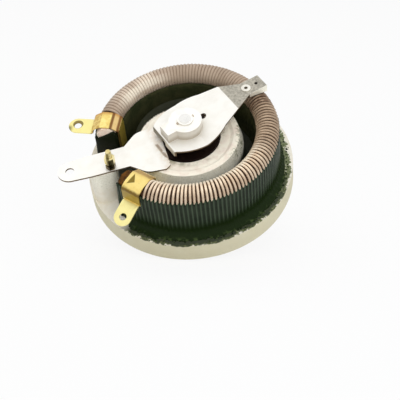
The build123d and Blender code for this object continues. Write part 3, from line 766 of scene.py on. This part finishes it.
def outer_coat_ring(angle):
    """Section of the outer wall of enamel, from its lip on the wires down to its ragged foot."""
    swell = rib(angle)
    core_side, foot = core_centre + core_half, core_centre + coat_half
    lip = outer_glaze_line - 0.35 + lip_wander * wobble(angle, 0, 18, 1)
    wall = foot - 0.25
    lean = wall_wander * wobble(angle, 0, 9, 2)

    # The foot is drawn in at both ends of the winding, and less beside the arm
    reach = foot_radius - 1.3 + foot_wander * wobble(angle, 0, 14, 3) + foot_fray * wobble(angle, 0, 45, 4)
    reach = min(reach, foot_radius - 0.05)
    at_ends = max(smooth(147, 155, -angle), smooth(128, 142, angle))
    beside_arm = smooth(-46, -24, angle) * (1 - smooth(26, 48, angle))
    for share in (0.9 * at_ends, 0.4 * beside_arm):
        reach -= (reach - foot) * share

    ring = [(core_side - 0.3, lip - 1.2), (core_side + 0.25, lip - 0.4)]
    ring.append((wall - 0.35 + 0.4 * swell, lip - 0.15))
    for i in range(13):
        share = i / 12
        height = (lip - 0.6) * (1 - share) + (base_height + foot_height + 0.4) * share
        ripple = wall_ripple * wobble(angle, height / 5, 12, 5)
        ring.append((wall + lean + ripple + rib_height * swell * (1 - 0.25 * share), height))
    for share, height in ((0.05, 2.7), (0.14, 1.9), (0.32, 1.15), (0.6, 0.6), (0.88, 0.3), (1.0, 0.04)):
        ripple = wall_ripple * wobble(angle, height, 30, 6)
        bulge = 0.5 * rib_height * swell * (1 - share)
        ring.append((foot + bulge + (reach - foot) * share, base_height + height + ripple * (1 - share)))
    ring.append((core_side - 0.3, base_height + 0.02))
    return [polar(radius, angle, height) for radius, height in ring]


def inner_coat_ring(angle):
    """Section of the lining on the trench side."""
    swell = rib(angle)
    core_side, foot = core_centre - core_half, core_centre - coat_half
    lip = inner_glaze_line + 0.1 + 0.25 * wobble(angle, 0, 16, 7)
    wall = foot + 0.35
    ring = [(core_side + 0.3, lip - 0.9), (core_side - 0.3, lip - 0.05)]
    for i in range(9):
        share = i / 8
        height = (lip - 0.5) * (1 - share) + (base_height + 1.6) * share
        ripple = wall_ripple * wobble(angle, height / 5, 12, 8)
        ring.append((wall + ripple - 0.25 * swell * (1 - 0.5 * share), height))
    for radius, height in ((foot, 0.5), (foot - 0.3, 0.03), (core_side + 0.3, 0.02)):
        ring.append((radius, base_height + height))
    return [polar(radius, angle, height) for radius, height in ring]


def coat_end_rings(side):
    """Glass cap over one end face of the core, its upper edge slanting up towards the shaft."""
    rings = []
    steps = ((core_end - 0.3, 0.0), (coat_end - 0.55, 0.05), (coat_end - 0.2, 0.25), (coat_end, 0.8))
    for angle, inset in steps:
        half, low, high = coat_half - 0.1 - inset, 36.9 - inset, 41.3 - inset
        outline = [(half + 1.0, base_height + 0.02), (half + 0.6, 24.0), (half + 0.1, 33.0)]
        outline += [(half, low - 1.2), (half - 0.3, low - 0.4), (half - 0.9, low + 0.05)]
        for share in (0.2, 0.4, 0.6, 0.8, 1.0):
            sag = 0.35 * math.sin(math.pi * share)
            outline.append((half - 0.9 + (-3.4 - half + 0.9) * share, low + (high - low) * share - sag))
        for lean in (140, 150, 160, 170, 180):
            turn = math.radians(lean)
            outline.append(((half - 0.5) * math.cos(turn), crest_level + (half - 0.5) * math.sin(turn) - 0.3))
        outline += [(-half + 0.2, 30.0), (-half, base_height + 0.02)]
        rings.append([polar(core_centre + across, side * angle, height) for across, height in outline])
    return rings


def enamel_coat():
    """Green coat: outer wall, lining and the caps over the ends of the core."""
    build = Build()
    end = core_end + 0.9
    angles = [end * (2 * i / coat_steps - 1) for i in range(coat_steps + 1)]
    build.loft([outer_coat_ring(angle) for angle in angles])
    build.loft([inner_coat_ring(angle) for angle in angles[::2]])
    build.loft(coat_end_rings(1))
    build.loft(coat_end_rings(-1))
    add_piece("enamel_coat", build, "green_enamel", replaces=["enamel_jacket"])


def enamel_specks():
    """Droplets of frit that ran or fell on the rim of the base."""
    rng = random.Random(3)
    build = Build()
    for _ in range(speck_count):
        angle = rng.uniform(-148, 132)
        radius = 51.4 + abs(rng.gauss(0, 1.2))
        if radius > base_radius - 1.2:
            continue
        size = rng.uniform(0.15, 0.62)
        stretch = rng.uniform(0.7, 1.5)
        centre = polar(radius, angle, base_height)
        rings = []
        for share, height in ((1.0, -0.05), (0.92, 0.18), (0.6, 0.34), (0.22, 0.42)):
            ring = []
            for k in range(9):
                turn = 2 * math.pi * k / 9
                out = share * (1 + 0.3 * noise.noise(Vector((math.cos(turn), math.sin(turn), angle))))
                at = Vector((math.cos(turn) * out, math.sin(turn) * out * stretch, height))
                ring.append(centre + at * size * MM)
            rings.append(ring)
        build.loft(rings)
    add_piece("enamel_specks", build, "green_enamel")


def strap_path(corners):
    """Middle of the sheet over the crest as (across, up) points, slightly bulged between its creases."""
    points = []
    for (a0, z0), (a1, z1) in zip(corners, corners[1:]):
        run = math.hypot(a1 - a0, z1 - z0)
        steps = max(4, round(run / 0.5))
        for i in range(steps):
            share = i / steps
            bulge = strap_bulge * math.sin(math.pi * share) if run < strap_leg / 2 else 0.0
            across, up = a0 + (a1 - a0) * share, z0 + (z1 - z0) * share
            points.append((across - bulge * (z1 - z0) / run, up + bulge * (a1 - a0) / run))
    points.append(corners[-1])
    return points


def strap_frame(angle):
    """Turns (across, along the ring, up) about the crest into a point of the object."""
    turn = math.radians(angle)
    out, along = Vector((math.cos(turn), math.sin(turn), 0)), Vector((-math.sin(turn), math.cos(turn), 0))

    def place(across, side, up):
        return (out * (core_centre + across) + along * side + Vector((0, 0, crest_level + up))) * MM
    return place


def strap_grid(build, rows):
    """Sheet over rows of points."""
    start, count = len(build.points), len(rows[0])
    for row in rows:
        build.points.extend(row)
    for i in range(len(rows) - 1):
        for k in range(count - 1):
            here = start + i * count + k
            build.faces.append((here, here + 1, here + count + 1, here + count))


def inside_triangle(x, y, corners):
    """How far a point lies inside a triangle whose corners run anticlockwise; negative outside."""
    gaps = []
    for (x0, y0), (x1, y1) in sides_of(corners):
        run = math.hypot(x1 - x0, y1 - y0)
        gaps.append(((x1 - x0) * (y - y0) - (y1 - y0) * (x - x0)) / run)
    return min(gaps)


def along_path(path, distance):
    """Point (out, up) at a distance from the root, on a path of (distance, out, up) knots."""
    for (d0, o0, u0), (d1, o1, u1) in zip(path, path[1:]):
        if distance <= d1 or (d1, o1, u1) == path[-1]:
            share = (distance - d0) / (d1 - d0)
            return o0 + (o1 - o0) * share, u0 + (u1 - u0) * share


def strap_lug(build, place, root, path):
    """Lug with a rounded end and a pressed eyelet; path gives (out, up) at a distance from its root."""
    half = lug_width / 2
    eye = path[-1][0] - half
    count = 64
    turns = [2 * math.pi * (k + 0.5) / count - math.pi / 2 for k in range(count)]
    ways = [(math.cos(turn), math.sin(turn)) for turn in turns]
    outline = []
    for x, y in ways:
        stretch = half if x >= 0 else min(eye / -x, half / max(abs(y), 1e-6))
        outline.append((eye + stretch * x, stretch * y))
    start = len(build.points)
    layers = ((lug_hole, -0.28), (lug_hole + 0.12, 0.02), (lug_hole + 0.45, 0.14), (lug_hole + 0.9, 0.05),
              (None, 0.0))
    for size, lift in layers:
        edge = [(eye + size * x, size * y) for x, y in ways] if size else outline
        for far, side in edge:
            out, up = along_path(path, far)
            build.points.append(place(root + out, side, up + lift))
    for layer in range(len(layers) - 1):
        for k in range(count):
            a, b = start + layer * count + k, start + layer * count + (k + 1) % count
            build.faces.append((a, b, b + count, a + count))


def end_strap(node, angle, lug_angle, corners, path, finish, press=None):
    """Creased brass band over the core with its solder lug, as one sheet made thick."""
    build = Build()
    place = strap_frame(angle)
    rows = []
    for across, up in strap_path(corners):
        row = []
        for k in range(37):
            side = strap_width * (k / 36 - 0.5)
            push = strap_dent * noise.noise(Vector((across / 3, side / 3, up / 3 + angle)))
            rim = 0.10 * noise.noise(Vector((across, up, angle))) * (abs(side) > strap_width * 0.49)
            if press and up > 0:
                push -= press_depth * smooth(-0.15, 0.35, inside_triangle(across, side, press))
            size = math.hypot(across, up) or 1
            row.append(place(across + push * across / size, side + rim, up + push * up / size * (up > 0)))
        rows.append(row)
    strap_grid(build, rows)
    strap_lug(build, strap_frame(lug_angle), strap_half, path)
    piece = add_piece(node + "_sheet", build, "brass", replaces=[node], finish=finish)
    thick = piece.modifiers.new("sheet", "SOLIDIFY")
    thick.thickness, thick.offset, thick.use_even_offset = strap_sheet * MM, 0.0, True
    soft = piece.modifiers.new("edges", "BEVEL")
    soft.width, soft.segments = 0.09 * MM, 2
    soft.limit_method, soft.angle_limit = "ANGLE", math.radians(50)


def end_straps():
    """The two straps: the upper one with its lug straight out, the lower one with a longer leg."""
    inner = [(-strap_half, -strap_leg), (-strap_half, strap_flat), (-strap_flat, strap_rise)]
    upper = inner + [(strap_flat, strap_rise), (strap_half, strap_flat), (strap_half, upper_lug_up)]
    level_path = [(out, out, upper_lug_up) for out in (0.0, 1.6, upper_lug_length)]
    end_strap("end_strap_upper", upper_strap_angle, upper_lug_angle, upper, level_path, upper_strap_finish)
    lower = inner + [(strap_flat + 1.6, strap_rise - 0.35), (strap_half, strap_flat + 0.5)]
    lower.append((strap_half, lower_lug_up))
    bend, bend_out, bend_up = 1.5, 1.45, lower_lug_up - 0.05
    sloping_path = [(0.0, 0.0, lower_lug_up), (bend, bend_out, bend_up)]
    sloping_path.append((bend + lower_lug_length, bend_out + lower_lug_length * math.cos(lower_lug_slope),
                         bend_up - lower_lug_length * math.sin(lower_lug_slope)))
    end_strap("end_strap_lower", lower_strap_angle, lower_strap_angle, lower, sloping_path,
              lower_strap_finish, pressed_mark)


def circle(axis, radius, height, sides):
    """Ring of points round an upright axis."""
    return [axis + polar(radius, 360 * k / sides, height) for k in range(sides)]


def thread_rings(axis, radius, pitch, depth, low, high, sides):
    """Rings up a helical thread that fades out at both ends."""
    rows = int((high - low) / pitch * 8)
    rings = []
    for i in range(rows + 1):
        height = low + (high - low) * i / rows
        fade = smooth(0, pitch, height - low) * smooth(0, pitch, high - height)
        ring = []
        for k in range(sides):
            groove = abs(2 * ((height / pitch - k / sides) % 1.0) - 1)
            here = radius - depth * (groove * fade + 0.8 * (1 - fade))
            ring.append(axis + polar(here, 360 * k / sides, height))
        rings.append(ring)
    return rings


def stud():
    """Threaded rod of the middle terminal, with a rounded end."""
    build = Build()
    sides, top = 36, stud_head - stud_round
    axis = Vector((stud_x, stud_y, 0)) * MM
    rings = thread_rings(axis, stud_radius, stud_pitch, stud_groove, stud_foot, top, sides)
    for share, rise in ((0.74, 0.25), (0.6, 0.42), (0.35, stud_round)):
        rings.append(circle(axis, stud_radius * share, top + rise, sides))
    build.loft(rings)
    add_piece("terminal_stud_thread", build, "brass", replaces=["terminal_stud"], finish=screw_finish)


def bushing():
    """Threaded bushing with its flange, bored for the shaft."""
    build = Build()
    sides, low, bore = 72, -bushing_length, bushing_bore
    rings = thread_rings(Vector(), bushing_radius - 0.02, bushing_pitch, bushing_groove, low, flange_low,
                         sides)
    profile = [(flange_radius - 0.2, flange_low), (flange_radius, flange_low + 0.2)]
    profile += [(flange_radius, flange_high - 0.3), (flange_radius - 0.3, flange_high)]
    profile += [(bore + 0.2, flange_high), (bore, flange_high - 0.2), (bore, low + 0.2), (bore + 0.2, low)]
    rings += [circle(Vector(), radius, height, sides) for radius, height in profile]
    build.loft(rings, closed=True)
    add_piece("bushing_thread", build, "steel", replaces=["bushing"])


coarse_winding()
fine_winding()
fine_bed()
enamel_coat()
enamel_specks()
end_straps()
stud()
bushing()

own_finish = {"middle_terminal": terminal_finish, "brush_eyelet": eyelet_finish, "cross_pin": pin_finish,
              "terminal_nut": screw_finish, "terminal_sleeve": screw_finish}
for part in frame["record"]["subparts"]:
    node = frame["nodes"][part["node"]]
    node.data.materials.clear()
    node.data.materials.append(own_finish.get(part["node"], finishes[part["material_slot"]]))


# Floor: the photograph's table, on which the tilted unit rests by its rim and its shaft

lean_towards = 62.0
rim_contact = base_radius - 1.6
shaft_end_radius = 2.8
lean = math.atan2(-shaft_end_height, rim_contact - shaft_end_radius)
level = polar(1, lean_towards, 0).normalized()
table_up = Vector((0, 0, math.cos(lean))) + level * math.sin(lean)


def empty_tree(owner):
    """Emptied shader tree of a material or a world."""
    owner.use_nodes = True
    owner.node_tree.nodes.clear()
    return owner.node_tree


def shader(tree, kind, **inputs):
    """Output of a new shader node with its inputs set."""
    node = tree.nodes.new("ShaderNode" + kind)
    for socket, value in inputs.items():
        node.inputs[socket].default_value = value
    return node.outputs[0]


def largest(tree, first, *others):
    """Largest of several outputs."""
    for other in others:
        greater = tree.nodes.new("ShaderNodeMath")
        greater.operation = "MAXIMUM"
        tree.links.new(first, greater.inputs[0])
        tree.links.new(other, greater.inputs[1])
        first = greater.outputs[0]
    return first


def blended(tree, share, first, second):
    """Shader that goes from the first to the second with a share."""
    blend = tree.nodes.new("ShaderNodeMixShader")
    for source, socket in zip((share, first, second), blend.inputs):
        tree.links.new(source, socket)
    return blend.outputs[0]


bpy.ops.mesh.primitive_plane_add(size=6.0, location=-level * rim_contact * MM)
floor = bpy.context.object
floor.name = "floor"
floor.rotation_euler = table_up.to_track_quat("Z", "Y").to_euler()

floor_paint = bpy.data.materials.new("floor_paint")
tree = empty_tree(floor_paint)
rays = tree.nodes.new("ShaderNodeLightPath").outputs
share = tree.nodes.new("ShaderNodeMath")
share.operation = "MULTIPLY"
share.inputs[1].default_value = 0.88
tree.links.new(largest(tree, rays["Is Camera Ray"], rays["Is Glossy Ray"]), share.inputs[0])
paper = shader(tree, "BsdfDiffuse", Color=(0.8, 0.8, 0.8, 1))
lit = blended(tree, share.outputs[0], paper, shader(tree, "Emission", Color=(1, 1, 1, 1)))
underside = tree.nodes.new("ShaderNodeNewGeometry").outputs["Backfacing"]
surface = blended(tree, underside, lit, shader(tree, "BsdfTransparent"))
tree.links.new(surface, tree.nodes.new("ShaderNodeOutputMaterial").inputs["Surface"])
floor.data.materials.append(floor_paint)


# Light: two soft lamps, which no reflection shows, and a pale surround

world = bpy.data.worlds.new("studio")
bpy.context.scene.world = world
tree = empty_tree(world)
rays = tree.nodes.new("ShaderNodeLightPath").outputs
seen = largest(tree, rays["Is Camera Ray"], rays["Is Glossy Ray"], rays["Is Transmission Ray"])
ambient = shader(tree, "Background", Color=(0.96, 0.98, 1.0, 1), Strength=0.54)
white = shader(tree, "Background", Color=(1, 1, 1, 1))
tree.links.new(blended(tree, seen, ambient, white), tree.nodes.new("ShaderNodeOutputWorld").inputs["Surface"])


def soft_lamp(name, direction, distance, size, radiance):
    """Square area lamp aimed at the middle of the part, as bright to look at as its radiance."""
    data = bpy.data.lights.new(name, "AREA")
    data.size = size
    data.energy = radiance * math.pi * size * size
    lamp = bpy.data.objects.new(name, data)
    lamp.visible_glossy = False
    bpy.context.collection.objects.link(lamp)
    direction = direction.normalized()
    lamp.location = polar(0, 0, 20) + direction * distance
    lamp.rotation_euler = direction.to_track_quat("Z", "Y").to_euler()


# Camera: fitted to the circles of the base, the pedestal and the winding in the photograph

camera_place = Vector((-103.631, -371.496, 463.455)) * MM
camera_right = Vector((0.92936, -0.36182, -0.07326))
camera_up = Vector((0.32659, 0.7133, 0.62012))
camera_ahead = Vector((0.17212, 0.60024, -0.78108))

soft_lamp("key", table_up - camera_right * 0.2 + level * 0.15, distance=1.5, size=2.3, radiance=0.88)
soft_lamp("fill", table_up * 0.35 + camera_right * 0.3 - camera_ahead, distance=1.5, size=1.3, radiance=1.85)

camera_data = bpy.data.cameras.new("camera")
camera_data.lens = 99.0
camera_data.sensor_width = 36.0
camera_data.clip_start = 0.01
camera = bpy.data.objects.new("camera", camera_data)
bpy.context.collection.objects.link(camera)
turn = Matrix((camera_right, camera_up, -camera_ahead)).transposed().to_4x4()
camera.matrix_world = Matrix.Translation(camera_place) @ turn
bpy.context.scene.camera = camera

bpy.context.scene.view_settings.view_transform = "Standard"
